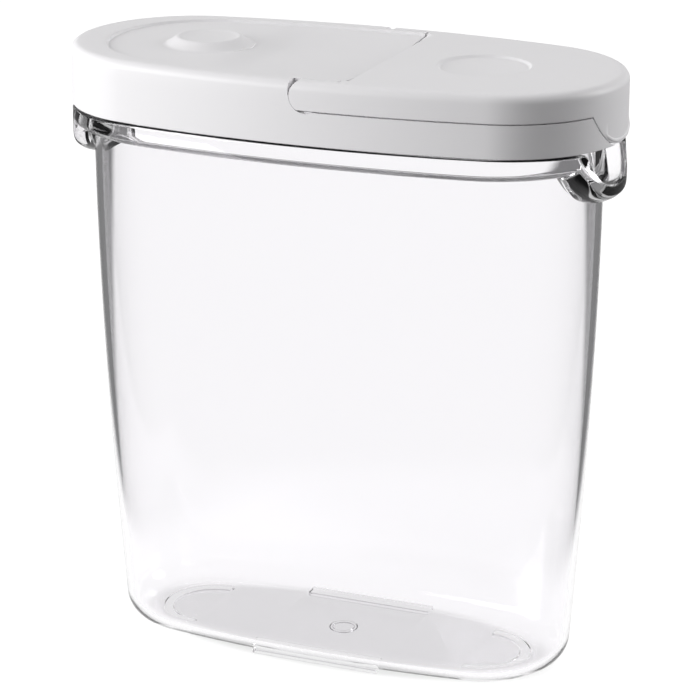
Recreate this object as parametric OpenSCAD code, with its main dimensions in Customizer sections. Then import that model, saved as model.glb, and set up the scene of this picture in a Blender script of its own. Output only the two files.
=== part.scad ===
// Clear jar for cereal and other dry food, with a white press-on lid.
// One half of the lid is a closed deck, the other half is a hinged pouring flap.
// X runs along the jar to the pouring end, Y across it, Z up.
// The origin is the centre of the footprint, on the surface that the feet stand on.

/* [Outline] */
// Overall length of the lid
lid_length = 170; // [166:1:174]
// Overall width of the lid
lid_width = 80; // [78:0.5:82]
// Radius of the lid's round ends
end_radius = 35.5; // [34:0.5:37]

/* [Heights] */
// Height of the lid's top above the surface
lid_top = 184.6; // [180:0.2:188]
// Height of the skirt, from its lower edge to the lid's top
skirt_height = 18.2; // [17:0.1:20]
// Height of the flap's edge, from the seam to the lid's top
flap_height = 8.2; // [8:0.1:8.6]

/* [Jar] */
// Thickness of the jar's wall
wall = 1.9; // [1.6:0.1:2.2]
// Thickness of the jar's floor
floor_t = 2.2; // [1.8:0.1:3]
// How far the wall leans in between the neck and the base
taper = 6.9; // [5:0.1:7.5]
// Radius of the edge between wall and base
base_edge = 8; // [6:0.5:9]
// Height of the feet
foot_height = 1.2; // [0.8:0.1:1.6]
// Depth of the finger notches in the collar
notch_depth = 11.6; // [8:0.2:12]
// Half width of the finger notches
notch_half = 18.6; // [16:0.2:20]

/* [Lid] */
// Thickness of the lid's skirt
skirt_t = 2; // [1.8:0.1:2.2]
// Thickness of the lid's flat walls
plate_t = 2; // [1.6:0.1:2.2]
// Depth of the deck below its rim
deck_drop = 0.8; // [0.6:0.1:1.2]
// Depth of the thumb recess beside the hinge, along its middle
recess_drop = 2.4; // [2:0.1:2.6]
// Distance of the deck's boss and the flap's dimple from the middle
boss_x = 43.3; // [40:0.1:45]

/* [Hinge] */
// Distance of the hinge axis from the middle, towards the pouring end
hinge_x = 4.3; // [4:0.1:4.6]
// Depth of the hinge axis below the lid's top
hinge_drop = 4; // [3.9:0.1:4.1]
// Radius of the hinge pins
pin_r = 1.6; // [1.4:0.1:1.7]
// Running clearance round a hinge pin
pin_play = 0.05; // [0.03:0.01:0.08]
// Gap between the flap and the frame
gap = 0.3; // [0.3:0.05:0.4]

/* [Hidden] */
$fn = 64;
eps = 0.01;
far = 200;

// Ovals as [half length, half width, end radius], and how much smaller the neck and the deck's rim are
lid_oval = [lid_length / 2, lid_width / 2, end_radius];
neck_step = [6.8, 4, 2.5];
rim_step = [11.5, 6.6, 5.5];
neck_oval = lid_oval - neck_step;
rim_oval = lid_oval - rim_step;

lid_bottom = lid_top - skirt_height;
seam_z = lid_top - flap_height;
axis_z = lid_top - hinge_drop;
shelf_top = seam_z - gap;
shelf_bottom = shelf_top - plate_t;
seal_room = 2.1;
neck_top = shelf_bottom - seal_room;

// ---- Outline made of four arcs ----

// Radius of the long side arcs
function side_radius(o) = (o[0] * o[0] + o[1] * o[1] - 2 * o[0] * o[2]) / (2 * (o[1] - o[2]));

// Direction in which an end arc meets a side arc
function joint_angle(o) = atan2(side_radius(o) - o[1], o[0] - o[2]);

// Point on oval o grown by g, where the outline faces direction f
function oval_point(o, g, f) =
    let (q = atan2(abs(sin(f)), abs(cos(f))), s = side_radius(o), on_end = q <= joint_angle(o),
         x = on_end ? o[0] - o[2] + (o[2] + g) * cos(q) : (s + g) * cos(q),
         y = on_end ? (o[2] + g) * sin(q) : o[1] - s + (s + g) * sin(q))
    [sign(cos(f)) * x, sign(sin(f)) * y];

// Directions round the outline, closest together where the notches are
notch_turn = 36;
end_turn = joint_angle(lid_oval);
quarter = concat([for (f = [0:3:notch_turn - 3]) f],
                 [for (i = [0:5]) notch_turn + (end_turn - notch_turn) * i / 6],
                 [for (i = [0:5]) end_turn + (90 - end_turn) * i / 6]);
steps = len(quarter);
turn = concat(quarter,
              [90], [for (i = [1:steps - 1]) 180 - quarter[steps - i]],
              [for (f = quarter) 180 + f],
              [270], [for (i = [1:steps - 1]) 360 - quarter[steps - i]]);
sides = len(turn);

module prism(o, g, z0, z1)
    translate([0, 0, z0]) linear_extrude(z1 - z0) polygon([for (f = turn) oval_point(o, g, f)]);

module band(o, g_out, g_in, z0, z1)
    difference() {
        prism(o, g_out, z0, z1);
        prism(o, g_in, z0 - 1, z1 + 1);
    }

// Everything with x above x0, y within half_y and z between z0 and z1
module beyond(x0, z0, z1, half_y = far)
    translate([x0, -half_y, z0]) cube([far, 2 * half_y, z1 - z0]);

module before(x0, z0, z1, half_y = far)
    translate([x0 - far, -half_y, z0]) cube([far, 2 * half_y, z1 - z0]);

// Cylinder along the hinge axis, between two distances from the middle, on both sides
module on_axis(r, y0, y1)
    for (s = [-1, 1])
        translate([hinge_x, s * y0, axis_z]) rotate([-90 * s, 0, 0]) cylinder(h = y1 - y0, r = r);

// ---- Jar ----

// The collar stands out from the neck to the lid's outline: an upright lip, rounded below
collar_clear = 0.6;
lip_height = 2.9;
lip_round = 3.6;
collar_top = lid_bottom - collar_clear;
collar_edge = collar_top - lip_height;
collar_bottom = collar_edge - lip_round;
// Corners between the collar's top and the neck, as [share of the way out, height]
collar_corners = [[0.4, 0], [0.12, 0.6], [0, 2]];
lip_edge = [0.92, 0.5];
rim_round = 0.4;
// How much shallower and wider a notch is at the lip's lower edge and at the collar's foot
edge_ease = [0.8, 3];
foot_ease = [1.2, 4];
wall_bow = 1.8;
bow_top = 151.2;
lean_z = foot_height + base_edge;
inner_edge = base_edge - wall;

// How far the wall stands inside the neck at height z
function lean(z) = z >= bow_top ? 0 : taper * pow((bow_top - z) / bow_top, wall_bow);

// Drop of a collar line in a notch, where the outline faces f
function dip(f, depth, half) =
    let (q = atan2(abs(sin(f)), abs(cos(f))), s = end_radius * q * PI / 180)
    s < half ? depth * (1 - pow(s / half, 3)) : 0;

// Point between the neck, at share 0, and the lid's outline, at share 1
function collar_point(f, share, z) =
    let (a = oval_point(neck_oval, 0, f), b = oval_point(lid_oval, 0, f), p = a + (b - a) * share)
    [p[0], p[1], z];

function neck_point(f, inset, z) = concat(oval_point(neck_oval, -inset, f), [z]);

// One upright section of the jar, from the edge of the base, over the rim, to the edge of the floor
function section(f) =
    let (low = collar_bottom - dip(f, notch_depth - foot_ease[0], notch_half + foot_ease[1]),
         edge = collar_edge - dip(f, notch_depth - edge_ease[0], notch_half + edge_ease[1]),
         top = collar_top - dip(f, notch_depth, notch_half),
         inner_z = foot_height + floor_t + inner_edge)
    concat(
        [for (t = [0:22.5:90])
            neck_point(f, lean(lean_z) + base_edge * (1 - sin(t)), lean_z - base_edge * cos(t))],
        [for (i = [1:6]) let (z = lean_z + (low - lean_z) * i / 6) neck_point(f, lean(z), z)],
        [for (t = [30:30:90]) collar_point(f, sin(t), edge - (edge - low) * cos(t))],
        [collar_point(f, 1, top - lip_edge[1]), collar_point(f, lip_edge[0], top)],
        [for (corner = collar_corners) collar_point(f, corner[0], top + corner[1])],
        [neck_point(f, 0, neck_top - rim_round), neck_point(f, rim_round, neck_top)],
        [neck_point(f, wall - rim_round, neck_top), neck_point(f, wall, neck_top - rim_round)],
        [for (i = [1:7]) let (z = collar_top + (inner_z - collar_top) * i / 7)
            neck_point(f, wall + lean(z), z)],
        [for (t = [22.5:22.5:90])
            neck_point(f, wall + lean(inner_z) + inner_edge * (1 - cos(t)), inner_z - inner_edge * sin(t))]);

module shell() {
    sections = [for (f = turn) section(f)];
    rows = len(sections[0]);
    points = [for (s = sections) each s];
    walls = [for (i = [0:sides - 1]) for (k = [0:rows - 2])
        let (a = i * rows + k, b = (i + 1) % sides * rows + k) each [[a, a + 1, b], [b, a + 1, b + 1]]];
    base = [for (i = [0:sides - 1]) i * rows];
    inside = [for (i = [1:sides]) (sides - i) * rows + rows - 1];
    polyhedron(points, concat(walls, [base, inside]), convexity = 10);
}

// Two straight feet, two curved end feet and a ring; each is rooted in the floor
foot_root = 1;
foot_length = 41.2;
foot_y = 20.4;
foot_width = 4.2;
end_foot_x = 44.5;
end_foot_r = 16;
end_foot_width = 3.5;
mark_r = 4.4;
mark_width = 1.2;
mark_depth = 0.5;

module feet() {
    for (s = [-1, 1]) {
        translate([-foot_length / 2, s > 0 ? foot_y : -foot_y - foot_width, 0])
            cube([foot_length, foot_width, foot_height + foot_root]);
        mirror([s > 0 ? 0 : 1, 0, 0]) translate([end_foot_x, 0, 0]) intersection() {
            difference() {
                cylinder(h = foot_height + foot_root, r = end_foot_r);
                translate([0, 0, -1])
                    cylinder(h = foot_height + foot_root + 2, r = end_foot_r - end_foot_width);
            }
            translate([0, -far / 2, -1]) cube([far, far, foot_height + foot_root + 2]);
        }
    }
    translate([0, 0, foot_height - mark_depth]) difference() {
        cylinder(h = mark_depth + foot_root, r = mark_r);
        translate([0, 0, -1]) cylinder(h = mark_depth + 1, r = mark_r - mark_width);
    }
}

module jar()
    color([0.93, 0.93, 0.95, 0.5]) {
        shell();
        feet();
    }

// ---- Lid ----

// The deck, and the thumb recess that is hollowed out of it up to the flap
deck_top = lid_top - deck_drop;
recess_top = lid_top - recess_drop;
recess_start = -28;
recess_end = hinge_x + 8.2;
rail_width = 6.8;
recess_half_y = lid_oval[1] - rail_width;
valley_half_y = recess_half_y - 1.8;
valley_depth = recess_drop - deck_drop;
valley_r = (pow(valley_half_y, 2) + pow(valley_depth, 2)) / (2 * valley_depth);
// The plug that stands in the jar's neck
plug_play = 0.5;
plug_t = 1.5;
plug_bottom = lid_bottom - 1;
// The flap's arms with their round backs, and the frame's ears inside them
arm_width = 4.4;
arm_r = hinge_drop + 0.83;
arm_play = 0.1;
pocket_x = hinge_x - arm_r - gap;
arm_y = lid_oval[1] - arm_width;
ear_r = 8.75;
ear_out = arm_y - gap;
// The flap's near edge stands clear of the recess, and slopes up to the top
edge_clear = 0.7;
flap_x = recess_end + edge_clear;
slope_run = 2.1;

// Pouring opening and the seal round it
mouth_inset = 13;
mouth_x = flap_x + 4.3;
seal_inset = 9;
seal_width = 2.4;
seal_x = flap_x + 0.6;
seal_height = 2.2;
rim_seal_out = 1;

// The flap's pull tab
tab_half = 16.2;
tab_drop = 10;
tab_bottom = seam_z - tab_drop;
tab_steps = 24;
tab_lip = 0.4;
tab_lip_height = 1.2;
tab_depth = skirt_t + gap;
tab_wall_t = 1.5;
tab_wall_side = 3;

// The deck's boss with its hollow top, and the flap's dimple
boss_top_r = 9.3;
boss_base_r = 13.6;
boss_height = 2.3;
dish_r = 60;
dish_depth = 0.7;
dimple_r = 13.4;
dimple_depth = 0.8;

// Tongue of the pull tab below the seam, seen from the pouring end and grown by g
module tab_shape(g) {
    half = tab_half + g;
    edge = [for (i = [-tab_steps:tab_steps]) let (share = i / tab_steps)
        [half * share, seam_z - (tab_drop + g) * (1 - pow(abs(share), 3))]];
    translate([lid_oval[0] - 12, 0, 0]) rotate([90, 0, 90]) linear_extrude(20)
        polygon(concat(edge, [[half, seam_z + 2], [-half, seam_z + 2]]));
}

module ear()
    intersection() {
        union() {
            on_axis(ear_r, recess_half_y, ear_out);
            for (s = [-1, 1])
                translate([pocket_x - 1, s > 0 ? recess_half_y : -ear_out, shelf_bottom])
                    cube([hinge_x - pocket_x + 1, ear_out - recess_half_y, lid_top - shelf_bottom]);
            for (s = [-1, 1])
                translate([pocket_x, s > 0 ? recess_half_y : -ear_out, shelf_bottom])
                    cube([recess_end - pocket_x, ear_out - recess_half_y, axis_z - shelf_bottom]);
        }
        before(recess_end, shelf_bottom, lid_top);
    }

module deck() {
    slab = recess_top - plate_t;
    // Skirt, rim and deck, in front of the pockets for the flap's arms
    intersection() {
        union() {
            band(lid_oval, 0, -skirt_t, seam_z - 1, lid_top);
            difference() {
                prism(lid_oval, -skirt_t / 2, deck_top - plate_t, lid_top);
                prism(rim_oval, 0, deck_top, lid_top + 1);
                translate([recess_start, -recess_half_y, deck_top - plate_t - 1])
                    cube([far, 2 * recess_half_y, far]);
            }
        }
        union() {
            before(pocket_x, seam_z - 1, lid_top);
            before(hinge_x, seam_z - 1, axis_z);
        }
    }
    // Thumb recess, hollowed along X, and the wall below its end
    difference() {
        union() {
            translate([recess_start - plate_t, -recess_half_y - 0.5, slab])
                cube([recess_end - recess_start + plate_t, 2 * recess_half_y + 1, deck_top - slab]);
            translate([recess_end - plate_t, -recess_half_y - 0.5, shelf_bottom])
                cube([plate_t, 2 * recess_half_y + 1, deck_top - shelf_bottom]);
        }
        translate([recess_start, 0, recess_top + valley_r]) rotate([0, 90, 0])
            cylinder(h = far, r = valley_r, $fn = 720);
    }
}

module boss()
    translate([-boss_x, 0, deck_top - 0.5]) difference() {
        cylinder(h = boss_height + 0.5, r1 = boss_base_r, r2 = boss_top_r);
        translate([0, 0, boss_height + 0.5 + dish_r - dish_depth]) sphere(dish_r, $fn = 128);
    }

module lid_frame()
    color([0.94, 0.94, 0.94]) difference() {
        union() {
            band(lid_oval, 0, -skirt_t, lid_bottom, shelf_top);
            // Shelf over the jar's rim, closed under the flap except for the mouth
            difference() {
                prism(lid_oval, -eps, shelf_bottom, shelf_top);
                intersection() {
                    prism(neck_oval, -wall - plug_play - plug_t, shelf_bottom - 1, shelf_top + 1);
                    before(recess_end - 1, shelf_bottom - 1, shelf_top + 1);
                }
                intersection() {
                    prism(lid_oval, -mouth_inset, shelf_bottom - 1, shelf_top + 1);
                    beyond(mouth_x, shelf_bottom - 1, shelf_top + 1);
                }
            }
            // Plug that stands in the jar's neck
            band(neck_oval, -wall - plug_play, -wall - plug_play - plug_t, plug_bottom, shelf_top);
            intersection() {
                band(neck_oval, -wall - plug_play, -wall - plug_play - plug_t, shelf_top - 1, recess_top - 1);
                before(recess_end, shelf_top - 1, recess_top);
            }
            // Wall behind the pull tab
            intersection() {
                band(lid_oval, -tab_depth, -tab_depth - tab_wall_t, lid_bottom, shelf_top);
                beyond(0, lid_bottom, shelf_top, tab_half + tab_wall_side);
            }
            deck();
            ear();
            boss();
        }
        // Room for the pull tab
        intersection() {
            tab_shape(gap);
            band(lid_oval, 2, -tab_depth, lid_bottom - 2, seam_z + 3);
        }
        on_axis(pin_r + pin_play, recess_half_y - 1, ear_out + 1);
        // Hollow in the skirt's edge that the arms' round backs turn in
        on_axis(arm_r + arm_play, ear_out, lid_oval[1] + 1);
    }

module rim_seal()
    color([0.8, 0.8, 0.8])
        band(neck_oval, rim_seal_out, -wall - plug_play, neck_top + gap, shelf_bottom);

module arm()
    intersection() {
        difference() {
            prism(lid_oval, 0, seam_z, lid_top);
            translate([-far / 2, -arm_y, seam_z - 1]) cube([far, 2 * arm_y, far]);
        }
        union() {
            on_axis(arm_r, arm_y - 1, lid_oval[1] + 1);
            beyond(hinge_x, seam_z, lid_top);
        }
        before(flap_x + slope_run, seam_z, lid_top);
    }

module pour_flap()
    color([0.95, 0.95, 0.95]) difference() {
        union() {
            arm();
            on_axis(pin_r, recess_half_y + 0.2, arm_y + 0.5);
            intersection() {
                union() {
                    band(lid_oval, 0, -skirt_t, seam_z, lid_top);
                    prism(lid_oval, -eps, lid_top - plate_t, lid_top);
                }
                beyond(flap_x + slope_run, seam_z, lid_top);
            }
            // Slope that rises from the thumb recess, between the ears
            rotate([90, 0, 0]) linear_extrude(2 * arm_y + 1, center = true)
                polygon([[flap_x, recess_top - plate_t], [flap_x + slope_run + 1, lid_top - plate_t - 0.4],
                         [flap_x + slope_run + 1, lid_top], [flap_x + slope_run, lid_top],
                         [flap_x, recess_top]]);
            // Rib that carries the flap's seal
            intersection() {
                union() {
                    band(lid_oval, -seal_inset, -seal_inset - seal_width, seam_z + seal_height, lid_top - 1);
                    translate([seal_x, -far / 2, seam_z + seal_height])
                        cube([seal_width, far, recess_top - plate_t - seam_z - seal_height + 1]);
                }
                prism(lid_oval, -seal_inset, seam_z, lid_top);
                beyond(seal_x, seam_z, lid_top);
            }
            intersection() {
                tab_shape(0);
                union() {
                    band(lid_oval, 0, -skirt_t, tab_bottom, seam_z + 1);
                    band(lid_oval, tab_lip, -1, tab_bottom, tab_bottom + tab_lip_height);
                }
            }
        }
        translate([boss_x, 0, lid_top - dimple_depth]) cylinder(h = 2, r = dimple_r);
    }

module flap_seal()
    color([0.8, 0.8, 0.8]) intersection() {
        union() {
            band(lid_oval, -seal_inset, -seal_inset - seal_width, seam_z, seam_z + seal_height);
            translate([seal_x, -far / 2, seam_z]) cube([seal_width, far, seal_height]);
        }
        prism(lid_oval, -seal_inset, seam_z, lid_top);
        beyond(seal_x, seam_z, lid_top);
    }

jar();
lid_frame();
rim_seal();
pour_flap();
flap_seal();
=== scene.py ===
"""Clear jar for cereal with a white pouring lid, built as a Blender add-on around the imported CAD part."""

import math

import bmesh
import bpy
import numpy as np
from bpy.props import FloatProperty, FloatVectorProperty, PointerProperty
from mathutils import Matrix, Vector
from mathutils.geometry import tessellate_polygon


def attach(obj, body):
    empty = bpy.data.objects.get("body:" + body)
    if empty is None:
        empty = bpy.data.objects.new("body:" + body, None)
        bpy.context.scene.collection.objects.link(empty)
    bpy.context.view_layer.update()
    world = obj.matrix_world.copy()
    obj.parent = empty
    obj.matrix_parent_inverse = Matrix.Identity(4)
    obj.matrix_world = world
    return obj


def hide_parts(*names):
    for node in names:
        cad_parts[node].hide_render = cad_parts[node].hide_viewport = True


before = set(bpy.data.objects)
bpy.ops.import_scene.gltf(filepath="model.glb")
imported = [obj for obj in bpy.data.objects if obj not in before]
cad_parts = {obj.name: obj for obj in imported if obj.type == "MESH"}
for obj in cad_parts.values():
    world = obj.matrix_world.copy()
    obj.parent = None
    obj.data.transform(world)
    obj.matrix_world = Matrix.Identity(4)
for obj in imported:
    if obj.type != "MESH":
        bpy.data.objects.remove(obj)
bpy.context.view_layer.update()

bl_info = {
    "name": "Cereal Jar",
    "version": (1, 0, 0),
    "blender": (4, 5, 0),
    "location": "3D View > Sidebar > Cereal Jar",
    "description": "Builds a clear cereal jar with a hinged pouring lid, and the studio it stands in",
    "category": "Add Mesh",
}

MM = 0.001

# Ovals as (half length, half width, end radius), in mm like every length below
LID_OVAL = (85.0, 40.0, 35.5)
NECK_OVAL = (78.2, 36.0, 33.0)
RIM_OVAL = (73.5, 33.4, 30.0)

LID_TOP = 184.6
LID_BOTTOM = 166.4
SEAM = 176.4
GAP = 0.3
SHELF_TOP = SEAM - GAP
SHELF_BOTTOM = SHELF_TOP - 2.0
NECK_TOP = 172.0
HINGE_X = 4.3
HINGE_Z = 180.6
ARM_R = 4.83
EAR_R = 8.75
ARM_Y = 35.6
EAR_Y = 35.3
RECESS_END = 12.5
FLAP_X = 13.2
SLOPE_RUN = 2.1
SEAL_X = 13.8
MOUTH_X = 17.5
BOSS_X = 43.3
TAB_HALF = 16.2
TAB_DROP = 10.0
FAR = 200.0

# The collar below the lid: gap under the lid, upright lip and the rounding under it
COLLAR_CLEAR = 0.6
LIP_HEIGHT = 2.9
LIP_ROUND = 3.6
# (depth, half width) of a finger notch in the collar's foot, outer edge and top
NOTCH_LINES = ((10.4, 22.6), (10.8, 21.6), (11.6, 18.6))

# Straight feet: half length, near side of each and width; then the curved feet and the round mark
FOOT_HALF = 20.6
FOOT_SIDES = (20.4, -24.6)
FOOT_WIDTH = 4.2
END_FOOT_X = 44.5
END_FOOT_RADII = (12.5, 16.0)
MARK_RADII = (3.2, 4.4)

# Thumb recess: where it starts to sink, the length of that slope and the half width of its valley
RECESS_FROM = -33.0
RECESS_RUN = 11.0
VALLEY_HALF = 31.4

# Sides of the plug and of the mouth, from the outlines they follow
PLUG_OUT = -2.4
PLUG_IN = -3.9
MOUTH_INSET = -13.0
SEAL_INSET = -9.0
SEAL_WIDTH = 2.4
PIN_R = 1.6
PIN_FROM = 33.4
PIN_TO = 36.2
EAR_IN = 33.25


# ---- Settings ----


class CerealJarShape(bpy.types.PropertyGroup):
    """Sizes that shape the jar and its lid"""

    wall: FloatProperty(name="Wall", description="Thickness of the jar's wall",
                        default=0.0019, unit="LENGTH", subtype="DISTANCE")
    floor: FloatProperty(name="Floor", description="Thickness of the jar's floor",
                         default=0.0022, unit="LENGTH", subtype="DISTANCE")
    taper: FloatProperty(name="Taper", description="How far the wall leans in towards the base",
                         default=0.0069, unit="LENGTH", subtype="DISTANCE")
    base_edge: FloatProperty(name="Base Edge", description="Radius between wall and base",
                             default=0.008, unit="LENGTH", subtype="DISTANCE")
    foot_height: FloatProperty(name="Foot Height", description="Height of the feet",
                               default=0.0012, unit="LENGTH", subtype="DISTANCE")
    top_edge: FloatProperty(name="Top Edge", description="Radius of the lid's upper edge",
                            default=0.0026, unit="LENGTH", subtype="DISTANCE")
    rim_step: FloatProperty(name="Rim Step", description="Depth of the deck below its rim",
                            default=0.0008, unit="LENGTH", subtype="DISTANCE")
    recess: FloatProperty(name="Thumb Recess", description="Depth of the recess below the deck",
                          default=0.0016, unit="LENGTH", subtype="DISTANCE")
    plate: FloatProperty(name="Lid Wall", description="Thickness of the lid's walls",
                         default=0.002, unit="LENGTH", subtype="DISTANCE")


class CerealJarFinish(bpy.types.PropertyGroup):
    """Colours and surfaces"""

    clear_tint: FloatVectorProperty(name="Clear Tint", description="Colour of the clear plastic",
                                    default=(0.962, 0.955, 0.968), size=3, subtype="COLOR")
    clear_ior: FloatProperty(name="Clear IOR", description="Refraction of the clear plastic", default=1.57)
    white: FloatVectorProperty(name="White", description="Colour of the white plastic",
                               default=(0.845, 0.835, 0.85), size=3, subtype="COLOR")
    seal: FloatVectorProperty(name="Seal", description="Colour of the seals",
                              default=(0.80, 0.80, 0.79), size=3, subtype="COLOR")
    paper: FloatVectorProperty(name="Paper", description="Colour of the studio floor",
                               default=(0.06, 0.06, 0.06), size=3, subtype="COLOR")


class CerealJarStudio(bpy.types.PropertyGroup):
    """Strength of each light"""

    key: FloatProperty(name="Key", description="Softbox at the front left", default=26.0, unit="POWER")
    top: FloatProperty(name="Top", description="Softbox overhead", default=0.8, unit="POWER")
    side: FloatProperty(name="Side", description="Softbox at the back right", default=15.0, unit="POWER")
    glow: FloatProperty(name="Floor Glow", description="Light that the floor gives off", default=1.01)
    ambient: FloatProperty(name="Ambient", description="Light from all round", default=1.0)


# ---- Outlines ----


def side_radius(oval):
    """Radius of the long side arcs."""
    a, b, e = oval
    return (a * a + b * b - 2 * a * e) / (2 * (b - e))


def mirrored(quarter):
    """All directions round an outline, from those in its first quarter."""
    q = np.asarray(quarter)
    return np.concatenate([q, 180 - q[-2::-1], 180 + q[1:], 360 - q[-2:0:-1]])


def spread(*stops):
    """Values from each (start, count) to the next start, then the last start."""
    parts = [np.linspace(a, b, n, endpoint=False) for (a, n), (b, _) in zip(stops, stops[1:])]
    return np.concatenate(parts + [[stops[-1][0]]])


class Outline:
    """Rings of points that all face the same directions."""

    def __init__(self, quarter):
        self.turn = mirrored(quarter)
        self.count = len(self.turn)
        c, s = np.cos(np.radians(self.turn)), np.sin(np.radians(self.turn))
        self.signs = np.sign(np.round(c, 9)), np.sign(np.round(s, 9))
        self.folded = np.arctan2(abs(s), abs(c))

    def flat(self, oval, grow=0.0):
        """The oval grown by grow, as (x, y) points."""
        a, b, e = oval
        r = side_radius(oval)
        on_end = self.folded <= math.atan2(r - b, a - e)
        c, s = np.cos(self.folded), np.sin(self.folded)
        x = np.where(on_end, a - e + (e + grow) * c, (r + grow) * c)
        y = np.where(on_end, (e + grow) * s, b - r + (r + grow) * s)
        return np.stack([self.signs[0] * x, self.signs[1] * y], axis=1)

    def ring(self, oval, grow, z):
        """The same, at a height that may differ by direction."""
        p = self.flat(oval, grow)
        return np.column_stack([p, np.broadcast_to(z, len(p))])

    def facing(self):
        turn = np.radians(self.turn)
        return np.stack([np.cos(turn), np.sin(turn)], axis=1)


def lid_directions():
    """Directions round the lid, close together along the pull tab, the hinge and the thumb recess."""
    tab_angle = math.degrees(math.asin(TAB_HALF / LID_OVAL[2]))
    reach = LID_OVAL[0] - LID_OVAL[2]
    joint = math.degrees(math.atan2(side_radius(LID_OVAL) - LID_OVAL[1], reach))
    end = spread((0.0, 36), (tab_angle, 16), (42.0, 26), (joint, 0))
    along = spread((reach + 4.0, 6), (37.0, 18), (18.0, 28), (11.0, 10), (0.0, 0))
    return np.concatenate([end, np.degrees(np.arccos(along / side_radius(LID_OVAL)))])


JAR_LINES = Outline(spread((0.0, 44), (36.0, 30), (80.0, 12), (90.0, 0)))
LID_LINES = Outline(lid_directions())


# ---- Meshes ----


def to_object(name, verts, faces):
    """A closed mesh from points in mm, facing outwards."""
    mesh = bpy.data.meshes.new(name)
    mesh.from_pydata((np.asarray(verts) * MM).tolist(), [], faces)
    made = bmesh.new()
    made.from_mesh(mesh)
    bmesh.ops.recalc_face_normals(made, faces=made.faces)
    made.to_mesh(mesh)
    made.free()
    shade(mesh, 40.0)
    obj = bpy.data.objects.new(name, mesh)
    bpy.context.scene.collection.objects.link(obj)
    return obj


def shade(mesh, soft_angle):
    """Smooth, but for the edges sharper than soft_angle degrees."""
    mesh.shade_smooth()
    mesh.set_sharp_from_angle(angle=math.radians(soft_angle))


def strip(offset, count):
    """Faces that close a ring straight across, between the points that face alike on either side."""
    last = count // 2
    faces = [[0, 1, count - 1], [last - 1, last, last + 1]]
    faces += [[i, i + 1, count - i - 1, count - i] for i in range(1, last - 1)]
    return [[offset + i for i in face] for face in faces]


def skin(name, rings, wrap=False):
    """Rings joined one to the next; wrap joins the last to the first, otherwise both ends are closed."""
    n, m = len(rings[0]), len(rings)
    faces = []
    for k in range(m if wrap else m - 1):
        a, b = k * n, (k + 1) % m * n
        faces += [[a + i, a + (i + 1) % n, b + (i + 1) % n, b + i] for i in range(n)]
    if not wrap:
        faces += strip(0, n) + strip((m - 1) * n, n)
    return to_object(name, np.concatenate(rings), faces)


def slab(name, loops, low, high, across="XY"):
    """A flat-sided plate: an outer loop, and holes if any, drawn in one plane and made thick across it."""
    order = {"XY": (0, 1, 2), "XZ": (0, 2, 1), "YZ": (1, 2, 0)}[across]
    flat = np.concatenate([np.asarray(loop, float) for loop in loops])
    n = len(flat)
    verts = np.zeros((2 * n, 3))
    for k, height in enumerate((low, high)):
        verts[k * n:(k + 1) * n, order[0]] = flat[:, 0]
        verts[k * n:(k + 1) * n, order[1]] = flat[:, 1]
        verts[k * n:(k + 1) * n, order[2]] = height
    caps = tessellate_polygon([[Vector((p[0], p[1], 0)) for p in loop] for loop in loops])
    faces = [list(t) for t in caps] + [[i + n for i in reversed(t)] for t in caps]
    start = 0
    for loop in loops:
        m = len(loop)
        faces += [[start + i, start + (i + 1) % m, start + (i + 1) % m + n, start + i + n] for i in range(m)]
        start += m
    return to_object(name, verts, faces)


def block(name, low, high):
    """A box between two corners."""
    corners = [(low[0], low[1]), (high[0], low[1]), (high[0], high[1]), (low[0], high[1])]
    return slab(name, [corners], low[2], high[2])


def arc(x, z, radius, start, end, count):
    """Points round (x, z), from start to end in degrees."""
    a = np.radians(np.linspace(start, end, count))
    return [(x + radius * math.cos(t), z + radius * math.sin(t)) for t in a]


def turned(name, profile, x, count=96):
    """A round solid about an upright axis, from (radius, z) points whose ends lie on the axis."""
    a = np.linspace(0, 2 * math.pi, count, endpoint=False)
    verts, faces = [(x, 0.0, profile[0][1])], []
    for r, z in profile[1:-1]:
        verts += [(x + r * math.cos(t), r * math.sin(t), z) for t in a]
    verts.append((x, 0.0, profile[-1][1]))
    rows = len(profile) - 2
    for i in range(count):
        j = (i + 1) % count
        faces.append([0, 1 + j, 1 + i])
        for k in range(rows - 1):
            low, high = 1 + k * count, 1 + (k + 1) * count
            faces.append([low + i, low + j, high + j, high + i])
        last = 1 + (rows - 1) * count
        faces.append([last + i, last + j, len(verts) - 1])
    return to_object(name, verts, faces)


def pair(loops, low, high):
    """A plate drawn in XZ, from low to high in y, and its mirror image on the other side, as one mesh."""
    return joined("pair", [slab("a", loops, low, high, "XZ"), slab("b", loops, -high, -low, "XZ")])


def finished(obj, material, node, body):
    """Gives a piece its only material and its place in the frame."""
    obj.data.materials.clear()
    obj.data.materials.append(material)
    obj.data.polygons.foreach_set("material_index", np.zeros(len(obj.data.polygons), dtype=np.int32))
    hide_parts(node)
    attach(obj, body)


def joined(name, parts):
    """Separate solids that don't touch, as one mesh."""
    mesh = bpy.data.meshes.new(name)
    made = bmesh.new()
    for part in parts:
        made.from_mesh(part.data)
    made.to_mesh(mesh)
    made.free()
    for part in parts:
        bpy.data.objects.remove(part)
    obj = bpy.data.objects.new(name, mesh)
    bpy.context.scene.collection.objects.link(obj)
    return obj


def combine(target, tool, operation):
    """Applies a Boolean and removes the tool."""
    step = target.modifiers.new("step", "BOOLEAN")
    step.operation = operation
    step.object = tool
    step.solver = "MANIFOLD"
    bpy.context.view_layer.update()
    made = target.evaluated_get(bpy.context.evaluated_depsgraph_get())
    mesh = bpy.data.meshes.new_from_object(made)
    if not len(mesh.polygons):
        raise RuntimeError(f"{operation} with {tool.name} left nothing of {target.name}")
    target.modifiers.clear()
    old = target.data
    target.data = mesh
    mesh.name = target.name
    bpy.data.meshes.remove(old)
    bpy.data.objects.remove(tool)
    shade(mesh, 30.0)


def cut(target, tool):
    combine(target, tool, "DIFFERENCE")


def add(target, tool):
    combine(target, tool, "UNION")


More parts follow.
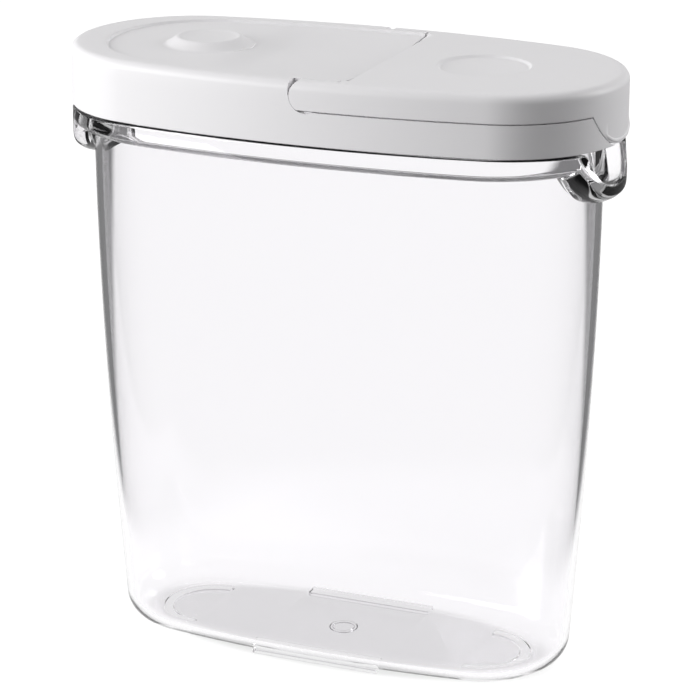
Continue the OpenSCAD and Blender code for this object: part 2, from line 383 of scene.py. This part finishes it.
def smooth_step(t):
    """0 below 0, 1 above 1, and soft at both ends in between."""
    t = np.clip(t, 0.0, 1.0)
    return t * t * (3 - 2 * t)


# ---- Jar ----


def lean(z, taper, top=151.2, bow=1.8):
    """How far the wall stands inside the neck at height z."""
    return taper * (np.clip(top - z, 0, None) / top) ** bow


def collar_lines():
    """Heights of the collar's lower line, outer edge and top in each direction, dipping into the notches."""
    run = LID_OVAL[2] * JAR_LINES.folded
    top = LID_BOTTOM - COLLAR_CLEAR
    edge = top - LIP_HEIGHT
    low = edge - LIP_ROUND

    return [z - depth * (1 - np.clip(run / half, 0, 1) ** 3)
            for z, (depth, half) in zip((low, edge, top), NOTCH_LINES)]


def jar_rings(shape):
    """Rings of the jar's wall: from under the base, up the outside, over the rim and down the inside."""
    wall, floor, taper = shape.wall / MM, shape.floor / MM, shape.taper / MM
    edge_r, foot = shape.base_edge / MM, shape.foot_height / MM
    low, edge, top = collar_lines()
    neck = JAR_LINES.flat(NECK_OVAL)
    rim = JAR_LINES.flat(LID_OVAL)
    facing = JAR_LINES.facing()

    def neck_ring(inset, z):
        """The neck's outline drawn in by inset, which may differ by direction."""
        inset = np.broadcast_to(inset, JAR_LINES.count)
        return np.column_stack([neck - facing * inset[:, None], np.broadcast_to(z, len(neck))])

    def collar_ring(share, z):
        return np.column_stack([neck + (rim - neck) * share, np.broadcast_to(z, len(neck))])

    lean_z = foot + edge_r
    rings = []
    # Edge of the base, wall and collar
    for t in np.radians(np.linspace(0, 90, 13)):
        inset = lean(lean_z, taper) + edge_r * (1 - math.sin(t))
        rings.append(neck_ring(inset, lean_z - edge_r * math.cos(t)))
    for share in np.linspace(0, 1, 29)[1:]:
        z = lean_z + (low - lean_z) * share
        rings.append(neck_ring(lean(z, taper), z))
    for t in np.radians(np.linspace(0, 90, 12)[1:]):
        rings.append(collar_ring(math.sin(t), edge - (edge - low) * math.cos(t)))
    # Upper edge of the lip, and the ledge with its fillet up to the neck
    round_z, round_share, ledge_share, fillet = 0.6, 0.1, 0.42, 2.0
    for t in np.radians(np.linspace(0, 90, 5)):
        rings.append(collar_ring(1 - round_share * (1 - math.cos(t)), top - round_z * (1 - math.sin(t))))
    for t in np.radians(np.linspace(0, 90, 7)):
        rings.append(collar_ring(ledge_share * (1 - math.sin(t)), top + fillet * (1 - math.cos(t))))
    # The rim, then down the inside to the floor
    rim_round = 0.5
    for t in np.radians(np.linspace(0, 90, 5)):
        rings.append(neck_ring(rim_round * (1 - math.cos(t)), NECK_TOP - rim_round * (1 - math.sin(t))))
    for t in np.radians(np.linspace(0, 90, 5)):
        inset = wall - rim_round * (1 - math.sin(t))
        rings.append(neck_ring(inset, NECK_TOP - rim_round * (1 - math.cos(t))))
    inner_r = edge_r - wall
    inner_z = foot + floor + inner_r
    for share in np.linspace(0, 1, 31)[1:]:
        z = NECK_TOP - rim_round + (inner_z - NECK_TOP + rim_round) * share
        rings.append(neck_ring(wall + lean(z, taper), z))
    for t in np.radians(np.linspace(0, 90, 11)[1:]):
        inset = wall + lean(inner_z, taper) + inner_r * (1 - math.cos(t))
        rings.append(neck_ring(inset, inner_z - inner_r * math.sin(t)))
    return rings


def foot_bar(name, x0, x1, y0, y1, z_top, round_by=0.5):
    """A straight foot with its lower edges eased."""
    plan = []
    for cx, cy, start in ((x1, y1, 0), (x0, y1, 90), (x0, y0, 180), (x1, y0, 270)):
        sx, sy = (-1 if cx == x1 else 1), (-1 if cy == y1 else 1)
        plan += arc(cx + sx * round_by, cy + sy * round_by, round_by, start, start + 90, 5)
    plan = np.asarray(plan)
    centre = plan.mean(axis=0)
    shrink = 1 - 2 * 0.3 / np.array([x1 - x0, y1 - y0])
    rings = [np.column_stack([(plan - centre) * shrink + centre, np.full(len(plan), 0.0)]),
             np.column_stack([plan, np.full(len(plan), 0.3)]),
             np.column_stack([plan, np.full(len(plan), z_top)])]
    n = len(plan)
    faces = [list(range(n))[::-1], [2 * n + i for i in range(n)]]
    for low in (0, n):
        faces += [[low + i, low + (i + 1) % n, low + n + (i + 1) % n, low + n + i] for i in range(n)]
    return to_object(name, np.concatenate(rings), faces)


def foot_arc(name, x, side, r0, r1, z0, z1, start, end, count=48):
    """Part of a round foot, square in section."""
    a = np.radians(np.linspace(start, end, count))
    closed = abs(end - start) >= 360
    if closed:
        a = a[:-1]
    ease = 0.3
    section = [(r0 + ease, z0), (r1 - ease, z0), (r1, z0 + ease), (r1, z1), (r0, z1), (r0, z0 + ease)]
    verts, faces = [], []
    for t in a:
        verts += [(x + side * r * math.cos(t), r * math.sin(t), z) for r, z in section]
    m, n = len(section), len(a)
    for i in range(n if closed else n - 1):
        j = (i + 1) % n
        faces += [[i * m + k, i * m + (k + 1) % m, j * m + (k + 1) % m, j * m + k] for k in range(m)]
    if not closed:
        faces += [list(range(m)), [(n - 1) * m + k for k in range(m)][::-1]]
    return to_object(name, verts, faces)


def build_jar(context):
    shape = context.scene.cereal_jar_shape
    jar = skin("jar_shell", jar_rings(shape))
    foot = shape.foot_height / MM
    feet = [foot_bar("foot", -FOOT_HALF, FOOT_HALF, y, y + FOOT_WIDTH, foot + 1.2) for y in FOOT_SIDES]
    for side in (-1, 1):
        feet.append(foot_arc("foot", side * END_FOOT_X, side, *END_FOOT_RADII, 0.0, foot + 1.0, -90, 90))
    feet.append(foot_arc("mark", 0.0, 1, *MARK_RADII, foot - 0.5, foot + 0.5, 0, 360, 65))
    add(jar, joined("feet", feet))
    finished(jar, clear_plastic(context), "jar", "jar")


# ---- Lid ----


def dish(shape, x, y, inside):
    """Depth of the lid's top below its rim; inside goes from 0 on the rim to 1 on the deck."""
    valley = np.clip(1 - (y / VALLEY_HALF) ** 2, 0, 1) * smooth_step((x - RECESS_FROM) / RECESS_RUN)
    depth = (shape.rim_step + shape.recess * valley) / MM * inside
    return depth * (1 - smooth_step((x - FLAP_X) / SLOPE_RUN))


def cap_rings(shape, bottom, lip=0.0):
    """Rings of a lid half: from the middle of the top, out and down the skirt, and back up inside it."""
    edge_r, plate = shape.top_edge / MM, shape.plate / MM
    lines = LID_LINES
    rings, under = [], []

    def top_ring(flat, inside):
        depth = dish(shape, flat[:, 0], flat[:, 1], inside)
        rings.append(np.column_stack([flat, LID_TOP - depth]))
        under.append(np.column_stack([flat, LID_TOP - depth - plate]))

    for grow in np.arange(-28.0, -0.8, 1.0):
        top_ring(lines.flat(RIM_OVAL, grow), 1.0)
    for grow in (-0.45, -0.3, -0.2, -0.1, 0.0, 0.1, 0.2, 0.3, 0.45):
        top_ring(lines.flat(RIM_OVAL, grow), float(smooth_step(0.5 - grow / 0.8)))
    inner, outer = lines.flat(RIM_OVAL, 0.5), lines.flat(LID_OVAL, -edge_r)
    for share in (0.2, 0.45, 0.7):
        top_ring(inner + (outer - inner) * share, 0.0)
    for t in np.radians(np.linspace(90, 0, 9)):
        rings.append(lines.ring(LID_OVAL, -edge_r * (1 - math.cos(t)), LID_TOP - edge_r * (1 - math.sin(t))))
    # The skirt, with a lip that swells out near its lower edge
    start = LID_TOP - edge_r
    round_r, lip_from, lip_run = 0.3, 1.6, 1.2
    for share in (0.75, 0.5, 0.3):
        rings.append(lines.ring(LID_OVAL, 0.0, bottom + lip_from + (start - bottom - lip_from) * share))
    for height in (lip_from, 1.3, 1.0, 0.7, 0.4):
        swell = math.sin(math.pi * min(1.0, (lip_from - height) / lip_run)) ** 0.5
        proud = np.broadcast_to(lip * swell, lines.count)
        flat = lines.flat(LID_OVAL, 0.0) + lines.facing() * proud[:, None]
        rings.append(np.column_stack([flat, np.broadcast_to(bottom + height, lines.count)]))
    for grow, height in ((0.0, round_r), (-0.1, 0.08), (-round_r, 0.0), (-plate + round_r, 0.0)):
        rings.append(lines.ring(LID_OVAL, grow, bottom + height))
    for height in (round_r, lip_from):
        rings.append(lines.ring(LID_OVAL, -plate, bottom + height))
    rings.append(lines.ring(LID_OVAL, -plate, LID_TOP - plate - 1.0))
    rings.append(lines.ring(LID_OVAL, -plate - 0.3, LID_TOP - plate - 0.3))
    rings.append(lines.ring(LID_OVAL, -plate - 1.0, LID_TOP - plate))
    return rings + under[-2::-1]


def arc_part(oval, grow, x_from):
    """The part of an outline beyond x_from, from its low-y end to its high-y end."""
    flat = LID_LINES.flat(oval, grow)
    half = LID_LINES.count // 2
    order = np.roll(flat, half, axis=0)
    kept = order[order[:, 0] > x_from + 0.05]
    a, b, _ = oval
    r = side_radius(oval)
    y_end = b - r + math.sqrt((r + grow) ** 2 - x_from ** 2)
    return np.concatenate([[[x_from, -y_end]], kept, [[x_from, y_end]]])


def tab_edge(y, grow=0.0):
    """Height of the pull tab's edge at distance y from the middle, or the seam beyond it."""
    share = np.clip(abs(np.asarray(y)) / (TAB_HALF + grow), 0, 1)
    return SEAM - (TAB_DROP + grow) * (1 - share ** 3)


def tab_loop(grow):
    """The pull tab's tongue in YZ, grown by grow, with room above the seam."""
    y = np.linspace(-TAB_HALF - grow, TAB_HALF + grow, 65)
    return list(zip(y, tab_edge(y, grow))) + [(y[-1], SEAM + 3.0), (y[0], SEAM + 3.0)]


def build_lid(context):
    shape = context.scene.cereal_jar_shape
    lid = skin("lid_cap", cap_rings(shape, np.full(LID_LINES.count, LID_BOTTOM)))
    # Everything that the flap takes the place of
    pocket = HINGE_X - ARM_R - GAP
    cut(lid, block("flap_room", (RECESS_END, -60, SHELF_TOP), (120, 60, FAR)))
    side = [(pocket, HINGE_Z), (pocket, FAR), (30, FAR), (30, SHELF_TOP),
            (HINGE_X, SHELF_TOP), (HINGE_X, HINGE_Z)]
    cut(lid, pair([side], EAR_Y, 60))
    back = arc(HINGE_X, HINGE_Z, EAR_R, 45, 10, 12)
    back += [(20, HINGE_Z), (20, FAR), (HINGE_X + EAR_R * 0.6, FAR)]
    cut(lid, pair([back], 33.2, 36.5))
    cut(lid, pair([arc(HINGE_X, HINGE_Z, ARM_R + 0.1, 0, 360, 65)[:-1]], EAR_Y, 41))
    cut(lid, slab("tab_room", [tab_loop(GAP)], 70, 90, "YZ"))
    # Shelf over the jar's rim, with the mouth and the hollow under the deck
    hollow = LID_LINES.flat(NECK_OVAL, PLUG_IN)
    order = np.roll(hollow, LID_LINES.count // 4, axis=0)
    closed_side = order[order[:, 0] < RECESS_END - 1.0]
    shelf = [LID_LINES.flat(LID_OVAL, -1.0), closed_side[::-1], arc_part(LID_OVAL, MOUTH_INSET, MOUTH_X)]
    add(lid, slab("shelf", shelf, SHELF_BOTTOM, SHELF_TOP - 0.02))
    plug_top = np.where(LID_LINES.flat(NECK_OVAL)[:, 0] < RECESS_END - 1.2, LID_TOP - 2.8, SHELF_TOP - 0.8)
    plug_low = LID_BOTTOM - 1.0
    plug = [(PLUG_OUT, plug_low + 0.5), (PLUG_OUT, plug_top), (PLUG_IN + 0.02, plug_top),
            (PLUG_IN + 0.02, plug_low + 0.4), (-3.5, plug_low), (-2.8, plug_low)]
    add(lid, skin("plug", [LID_LINES.ring(NECK_OVAL, grow, z) for grow, z in plug], wrap=True))
    # Wall behind the pull tab
    y = np.linspace(-19.2, 19.2, 25)
    reach = LID_OVAL[0] - LID_OVAL[2]
    behind = [(reach + math.sqrt((LID_OVAL[2] - 2.3) ** 2 - v * v), v) for v in y]
    behind += [(reach + math.sqrt((LID_OVAL[2] - 3.8) ** 2 - v * v), v) for v in y[::-1]]
    add(lid, slab("tab_wall", [behind], LID_BOTTOM, SHELF_TOP - 0.5))
    # Wall under the end of the thumb recess, and the hinge ears
    y = np.linspace(-34.0, 34.0, 35)
    crest = LID_TOP - 1.0 - dish(shape, np.full(35, RECESS_END), y, 1.0)
    wall_loop = [(34.0, SHELF_BOTTOM + 0.5), (-34.0, SHELF_BOTTOM + 0.5)] + list(zip(y, crest))
    add(lid, slab("end_wall", [wall_loop], RECESS_END - 2.0, RECESS_END - 0.02, "YZ"))
    ear = [(HINGE_X - 6.1, SHELF_BOTTOM + 0.5), (HINGE_X - 6.1, LID_TOP - 0.4)]
    ear += arc(HINGE_X, HINGE_Z, EAR_R - 0.1, 24.2, 18, 3) + [(RECESS_END - 0.05, SHELF_BOTTOM + 0.5)]
    bore = arc(HINGE_X, HINGE_Z, 1.65, 0, 360, 49)[:-1]
    add(lid, pair([ear, bore], EAR_IN, EAR_Y - 0.02))
    # The boss and its hollow top
    deck = LID_TOP - shape.rim_step / MM
    flank = [(13.7, 0.0), (13.2, 0.06), (12.4, 0.4), (10.4, 1.75), (9.8, 2.1), (9.4, 2.25), (9.1, 2.28),
             (8.8, 2.24), (8.4, 2.1), (7.6, 1.9), (5.0, 1.72), (2.5, 1.63)]
    boss = [(0, deck - 0.6), (13.7, deck - 0.6)] + [(r, deck + z) for r, z in flank] + [(0, deck + 1.6)]
    add(lid, turned("boss", boss, -BOSS_X))
    finished(lid, white_plastic(context), "lid_frame", "lid")


def flap_edge():
    """Height of the flap's lower edge in each direction: the seam, and the pull tab at the end."""
    flat = LID_LINES.flat(LID_OVAL)
    return np.where(flat[:, 0] > 60, tab_edge(flat[:, 1]), SEAM)


def build_flap(context):
    shape = context.scene.cereal_jar_shape
    bottom = flap_edge()
    lip = 0.4 * smooth_step((SEAM - 6.5 - bottom) / 2.0)
    flap = skin("flap_cover", cap_rings(shape, bottom, lip))
    cut(flap, block("deck_side", (-120, -ARM_Y, 150), (FLAP_X, ARM_Y, FAR)))
    back = [(-120, 150), (HINGE_X, 150)] + arc(HINGE_X, HINGE_Z, ARM_R, 270, 90, 33)
    cut(flap, pair([back + [(HINGE_X, FAR), (-120, FAR)]], ARM_Y - 0.5, 60))
    rib_low, rib_high = SEAM + 2.2, LID_TOP - 1.8
    add(flap, d_ring("rib", [(0, rib_low), (0, rib_high), (1, rib_high), (1, rib_low)]))
    add(flap, pair([arc(HINGE_X, HINGE_Z, PIN_R, 0, 360, 65)[:-1]], PIN_FROM, PIN_TO))
    bowl = [(0, LID_TOP + 1.0), (13.75, LID_TOP + 1.0), (13.75, LID_TOP + 0.02), (13.45, LID_TOP - 0.08),
            (13.1, LID_TOP - 0.4), (12.75, LID_TOP - 0.7), (12.3, LID_TOP - 0.8), (0, LID_TOP - 0.8)]
    cut(flap, turned("dimple", bowl, BOSS_X))
    finished(flap, white_plastic(context), "pour_flap", "flap")


# ---- Seals ----


def d_ring(name, section):
    """The ring that seals the mouth: an arc of the lid's outline closed by a straight run at SEAL_X."""
    outer = arc_part(LID_OVAL, SEAL_INSET, SEAL_X)
    inner = arc_part(LID_OVAL, SEAL_INSET - SEAL_WIDTH, SEAL_X + SEAL_WIDTH)
    steps = np.linspace(0, 1, 140)

    def even(points):
        """The same line through evenly spaced points."""
        run = np.concatenate([[0], np.cumsum(np.linalg.norm(np.diff(points, axis=0), axis=1))])
        return np.column_stack([np.interp(steps * run[-1], run, points[:, k]) for k in (0, 1)])

    def closed(points):
        points = even(points)
        back = np.linspace(points[-1], points[0], 22)[1:-1]
        return np.concatenate([points, back])

    outer, inner = closed(outer), closed(inner)
    rings = [np.column_stack([outer + (inner - outer) * t, np.full(len(outer), z)]) for t, z in section]
    return skin(name, rings, wrap=True)


def build_seals(context):
    finish = seal_rubber(context)
    low, high = NECK_TOP + GAP, SHELF_BOTTOM - 0.01
    soft = 0.5
    section = [(1.0 - soft, low), (1.0, low + soft), (1.0, high - 0.2), (0.8, high),
               (-2.2, high), (-2.4, high - 0.2), (-2.4, low + soft), (-2.4 + soft, low)]
    rim = skin("lid_seal", [LID_LINES.ring(NECK_OVAL, g, z) for g, z in section], wrap=True)
    gasket = d_ring("flap_gasket", [
        (0.25, SEAM), (0.06, SEAM + 0.25), (0.0, SEAM + 0.6), (0.0, SEAM + 2.19),
        (1.0, SEAM + 2.19), (1.0, SEAM + 0.6), (0.94, SEAM + 0.25), (0.75, SEAM)])
    finished(rim, finish, "rim_seal", "lid")
    finished(gasket, finish, "flap_seal", "flap")


# ---- Materials ----


class Wire:
    """The output of a shader node, with the maths that may follow it."""

    def __init__(self, net, socket):
        self.net = net
        self.socket = socket

    def _maths(self, operation, first, second):
        return self.net.node("ShaderNodeMath", {"operation": operation}, {0: first, 1: second})

    def __add__(self, other):
        return self._maths("ADD", self, other)

    def __radd__(self, other):
        return self._maths("ADD", other, self)

    def __sub__(self, other):
        return self._maths("SUBTRACT", self, other)

    def __rsub__(self, other):
        return self._maths("SUBTRACT", other, self)

    def __mul__(self, other):
        return self._maths("MULTIPLY", self, other)

    def __rmul__(self, other):
        return self._maths("MULTIPLY", other, self)

    def __truediv__(self, other):
        return self._maths("DIVIDE", self, other)

    def __rtruediv__(self, other):
        return self._maths("DIVIDE", other, self)

    def size(self):
        return self._maths("ABSOLUTE", self, 0.0)


class Net:
    """The node tree of one material."""

    def __init__(self, name):
        self.material = bpy.data.materials.new(name)
        self.material.use_nodes = True
        self.tree = self.material.node_tree
        self.shader = self.tree.nodes["Principled BSDF"]

    def put(self, socket, value):
        if isinstance(value, Wire):
            self.tree.links.new(value.socket, socket)
        else:
            socket.default_value = value

    def node(self, kind, settings=None, values=None, out=0):
        made = self.tree.nodes.new(kind)
        for key, value in (settings or {}).items():
            setattr(made, key, value)
        for key, value in (values or {}).items():
            self.put(made.inputs[key], value)
        return Wire(self, made.outputs[out])

    def place(self):
        return self.node("ShaderNodeTexCoord", out="Object")

    def noise(self, scale, detail=2.0, roughness=0.5):
        return self.node("ShaderNodeTexNoise", {}, {"Vector": self.place(), "Scale": scale, "Detail": detail,
                                                    "Roughness": roughness}, out="Fac")

    def mix(self, share, first, second):
        return self.node("ShaderNodeMix", {"data_type": "RGBA"}, {0: share, 6: first, 7: second}, out=2)

    def ramp(self, value, low, high):
        """value, taken from low..high to 0..1 with soft ends."""
        return self.node("ShaderNodeMapRange", {"interpolation_type": "SMOOTHSTEP"},
                         {"Value": value, "From Min": low, "From Max": high})

    def bump(self, height, distance, strength):
        return self.node("ShaderNodeBump", {}, {"Height": height, "Distance": distance, "Strength": strength})

    def set(self, **values):
        for key, value in values.items():
            self.put(self.shader.inputs[key.replace("_", " ")], value)
        return self.material


def tinted(colour, factor):
    return tuple(c * factor for c in colour) + (1.0,)


def clear_plastic(context):
    finish = context.scene.cereal_jar_finish
    net = Net("jar_clear")
    flow = net.noise(9.0, 3.0)
    tone = net.mix(flow, tinted(finish.clear_tint, 1.0), tinted(finish.clear_tint, 0.985))
    return net.set(Base_Color=tone, Roughness=0.004 + 0.012 * net.noise(60.0), IOR=finish.clear_ior,
                   Transmission_Weight=1.0, Specular_Tint=(0.4, 0.39, 0.41, 1.0),
                   Normal=net.bump(net.noise(26.0, 1.0), 0.0001, 0.08))


def white_plastic(context):
    """The lid's and the flap's matte white; both share it."""
    finish = context.scene.cereal_jar_finish
    if "lid_white" in bpy.data.materials:
        return bpy.data.materials["lid_white"]
    net = Net("lid_white")
    flow = net.noise(30.0, 4.0, 0.55)
    grain = net.noise(1400.0, 2.0, 0.6)
    tone = net.mix(flow, tinted(finish.white, 0.985), tinted(finish.white, 1.01))
    return net.set(Base_Color=tone, Roughness=0.36 + 0.12 * flow + 0.05 * grain, IOR=1.49,
                   Normal=net.bump(grain, 0.0001, 0.12))


def seal_rubber(context):
    finish = context.scene.cereal_jar_finish
    net = Net("seal_soft")
    grain = net.noise(900.0, 3.0, 0.6)
    tone = net.mix(net.noise(70.0, 3.0), tinted(finish.seal, 0.96), tinted(finish.seal, 1.02))
    return net.set(Base_Color=tone, Roughness=0.5 + 0.15 * grain, IOR=1.41,
                   Normal=net.bump(grain, 0.00012, 0.2))


# ---- Studio ----

LENS_PLACE = (0.304807, -0.743319, 0.363771)
LENS_RIGHT = (0.92595, 0.37765, 0.00056)
LENS_UP = (-0.12104, 0.29537, 0.94768)
LENS_AHEAD = (-0.35773, 0.87757, -0.31921)
LENS_LENGTH = 144.59

# The wedge of floor with painted glow: how fast it spreads with distance, and where its sides and its front
# fade, in m
WEDGE_SPREAD = 0.118
WEDGE_SIDES = (0.0175, 0.05)
WEDGE_FRONT = (0.075, 0.13)
# Half length and half width of the painted shadow under the jar
PAINTED_SHADOW_HALF = (0.072, 0.028)

# Where the air is brightest, and each soft box as (name, place, width and height)
BRIGHT_SIDE = (-0.82, 0.55, 0.16)
AIM = (0, 0, 0.15)
SOFT_BOXES = (("key_box", (-1.1, -0.95, 0.5), (1.0, 1.2)),
              ("top_box", (-0.1, 0.3, 1.5), (1.2, 1.0)),
              ("side_box", (1.3, 0.7, 0.7), (0.5, 1.0)))


def floor_paper(context):
    """A pale floor with painted light: it glows along a wedge seen from the front, falls off softly to a dim
    glow at the sides, and has a painted shadow under the jar.
    """
    finish, studio = context.scene.cereal_jar_finish, context.scene.cereal_jar_studio
    net = Net("floor_paper")
    ahead = Vector((LENS_AHEAD[0], LENS_AHEAD[1], 0)).normalized()
    place = net.place()
    dot = {"operation": "DOT_PRODUCT"}
    across = net.node("ShaderNodeVectorMath", dot, {0: place, 1: (ahead.y, -ahead.x, 0.0)}, out="Value")
    along = net.node("ShaderNodeVectorMath", dot, {0: place, 1: tuple(ahead)}, out="Value")
    centre = Vector(LENS_PLACE[:2]).dot(Vector((ahead.y, -ahead.x)))
    start = Vector(LENS_PLACE[:2]).dot(ahead.to_2d())
    away = (across - centre).size() - WEDGE_SPREAD * (along - start).size()
    sides, front = net.ramp(away, *WEDGE_SIDES), net.ramp(-1.0 * along, *WEDGE_FRONT)
    fade = sides + front - sides * front
    apart = net.node("ShaderNodeSeparateXYZ", {}, {0: place}).socket.node
    long_way, wide_way = (Wire(net, apart.outputs[k]) / PAINTED_SHADOW_HALF[k] for k in (0, 1))
    # Painted shadow: the floor's glow dimmed to 0.78 inside the jar's footprint, fading out towards its edge
    under = 0.78 + 0.22 * net.ramp(long_way * long_way + wide_way * wide_way, 0.7, 1.0)
    fibre = 0.99 + 0.02 * net.noise(40.0, 4.0)
    tone = net.mix(fibre, (0.0, 0.0, 0.0, 1.0), tinted(finish.paper, 1.0))
    # Painted light: full white glow inside the wedge, a dim grey glow outside it
    glow = net.mix(fade, (1.0, 1.0, 1.0, 1.0), (0.14, 0.14, 0.142, 1.0))
    glow = net.mix(under, (0.0, 0.0, 0.0, 1.0), glow)
    return net.set(Base_Color=tone, Emission_Color=glow, Emission_Strength=studio.glow, Roughness=0.85)


def studio_air(strength):
    """Light from all round, strong from the back left and weak from the front right."""
    world = bpy.data.worlds.new("studio_air")
    world.use_nodes = True
    tree = world.node_tree
    place = tree.nodes.new("ShaderNodeTexCoord")
    facing = tree.nodes.new("ShaderNodeVectorMath")
    facing.operation = "DOT_PRODUCT"
    facing.inputs[1].default_value = BRIGHT_SIDE
    tree.links.new(place.outputs["Generated"], facing.inputs[0])
    ramp = tree.nodes.new("ShaderNodeMapRange")
    ramp.interpolation_type = "SMOOTHSTEP"
    for key, value in (("From Min", -0.7), ("From Max", 0.7), ("To Min", 0.06), ("To Max", 0.62)):
        ramp.inputs[key].default_value = value
    tree.links.new(facing.outputs["Value"], ramp.inputs["Value"])
    tree.links.new(ramp.outputs["Result"], tree.nodes["Background"].inputs["Color"])
    tree.nodes["Background"].inputs["Strength"].default_value = strength
    return world


def soft_box(name, place, size, power):
    light = bpy.data.lights.new(name, "AREA")
    light.shape = "RECTANGLE"
    light.size, light.size_y = size
    light.energy = power
    obj = bpy.data.objects.new(name, light)
    obj.location = place
    aim = Vector(AIM) - Vector(place)
    obj.rotation_euler = aim.to_track_quat("-Z", "Y").to_euler()
    bpy.context.scene.collection.objects.link(obj)


def build_stage(context):
    scene = context.scene
    studio = scene.cereal_jar_studio
    n, reach = 24, 6.0
    line = np.linspace(-reach, reach, n + 1)
    verts = [(x / MM, y / MM, 0.0) for y in line for x in line]
    faces = [[j * (n + 1) + i, j * (n + 1) + i + 1, (j + 1) * (n + 1) + i + 1, (j + 1) * (n + 1) + i]
             for j in range(n) for i in range(n)]
    floor = to_object("studio_floor", verts, faces)
    if floor.data.polygons[0].normal.z < 0:
        floor.data.flip_normals()
    floor.data.materials.append(floor_paper(context))
    scene.world = studio_air(studio.ambient)
    for (name, place, size), power in zip(SOFT_BOXES, (studio.key, studio.top, studio.side)):
        soft_box(name, place, size, power)
    lens = bpy.data.cameras.new("studio_camera")
    lens.lens, lens.sensor_width = LENS_LENGTH, 36.0
    lens.clip_start, lens.clip_end = 0.05, 30.0
    camera = bpy.data.objects.new("studio_camera", lens)
    axes = zip(LENS_RIGHT, LENS_UP, [-v for v in LENS_AHEAD])
    rows = [list(row) + [p] for row, p in zip(axes, LENS_PLACE)]
    camera.matrix_world = Matrix(rows + [[0, 0, 0, 1]])
    scene.collection.objects.link(camera)
    scene.camera = camera
    scene.view_settings.view_transform = "Standard"
    scene.cycles.max_bounces = 20
    scene.cycles.transmission_bounces = 20


# ---- Operators and panel ----


class CEREAL_OT_jar(bpy.types.Operator):
    """Build the clear jar with its collar, finger notches and feet"""

    bl_idname = "cereal.jar"
    bl_label = "Jar"

    def execute(self, context):
        build_jar(context)
        return {"FINISHED"}


class CEREAL_OT_lid(bpy.types.Operator):
    """Build the lid's fixed half with its skirt, deck, boss, shelf and plug"""

    bl_idname = "cereal.lid"
    bl_label = "Lid"

    def execute(self, context):
        build_lid(context)
        return {"FINISHED"}


class CEREAL_OT_flap(bpy.types.Operator):
    """Build the hinged pouring flap with its arms, pull tab and dimple"""

    bl_idname = "cereal.flap"
    bl_label = "Flap"

    def execute(self, context):
        build_flap(context)
        return {"FINISHED"}


class CEREAL_OT_seals(bpy.types.Operator):
    """Build the seal under the lid and the gasket under the flap"""

    bl_idname = "cereal.seals"
    bl_label = "Seals"

    def execute(self, context):
        build_seals(context)
        return {"FINISHED"}


class CEREAL_OT_stage(bpy.types.Operator):
    """Set up the pale floor, the soft boxes, the camera and the picture's settings"""

    bl_idname = "cereal.stage"
    bl_label = "Studio"

    def execute(self, context):
        build_stage(context)
        return {"FINISHED"}


class CEREAL_PT_panel(bpy.types.Panel):
    """Buttons that build each piece"""

    bl_label = "Cereal Jar"
    bl_idname = "CEREAL_PT_panel"
    bl_space_type = "VIEW_3D"
    bl_region_type = "UI"
    bl_category = "Cereal Jar"

    def draw(self, context):
        for step in STEPS:
            self.layout.operator(step.bl_idname)


STEPS = (CEREAL_OT_jar, CEREAL_OT_lid, CEREAL_OT_flap, CEREAL_OT_seals, CEREAL_OT_stage)
GROUPS = {"cereal_jar_shape": CerealJarShape, "cereal_jar_finish": CerealJarFinish,
          "cereal_jar_studio": CerealJarStudio}


def register():
    for cls in list(GROUPS.values()) + list(STEPS) + [CEREAL_PT_panel]:
        bpy.utils.register_class(cls)
    for name, cls in GROUPS.items():
        setattr(bpy.types.Scene, name, PointerProperty(type=cls))


def unregister():
    for name in GROUPS:
        delattr(bpy.types.Scene, name)
    for cls in [CEREAL_PT_panel] + list(STEPS) + list(GROUPS.values()):
        bpy.utils.unregister_class(cls)


def main():
    register()
    bpy.ops.cereal.jar()
    bpy.ops.cereal.lid()
    bpy.ops.cereal.flap()
    bpy.ops.cereal.seals()
    bpy.ops.cereal.stage()


if __name__ == "__main__":
    main()
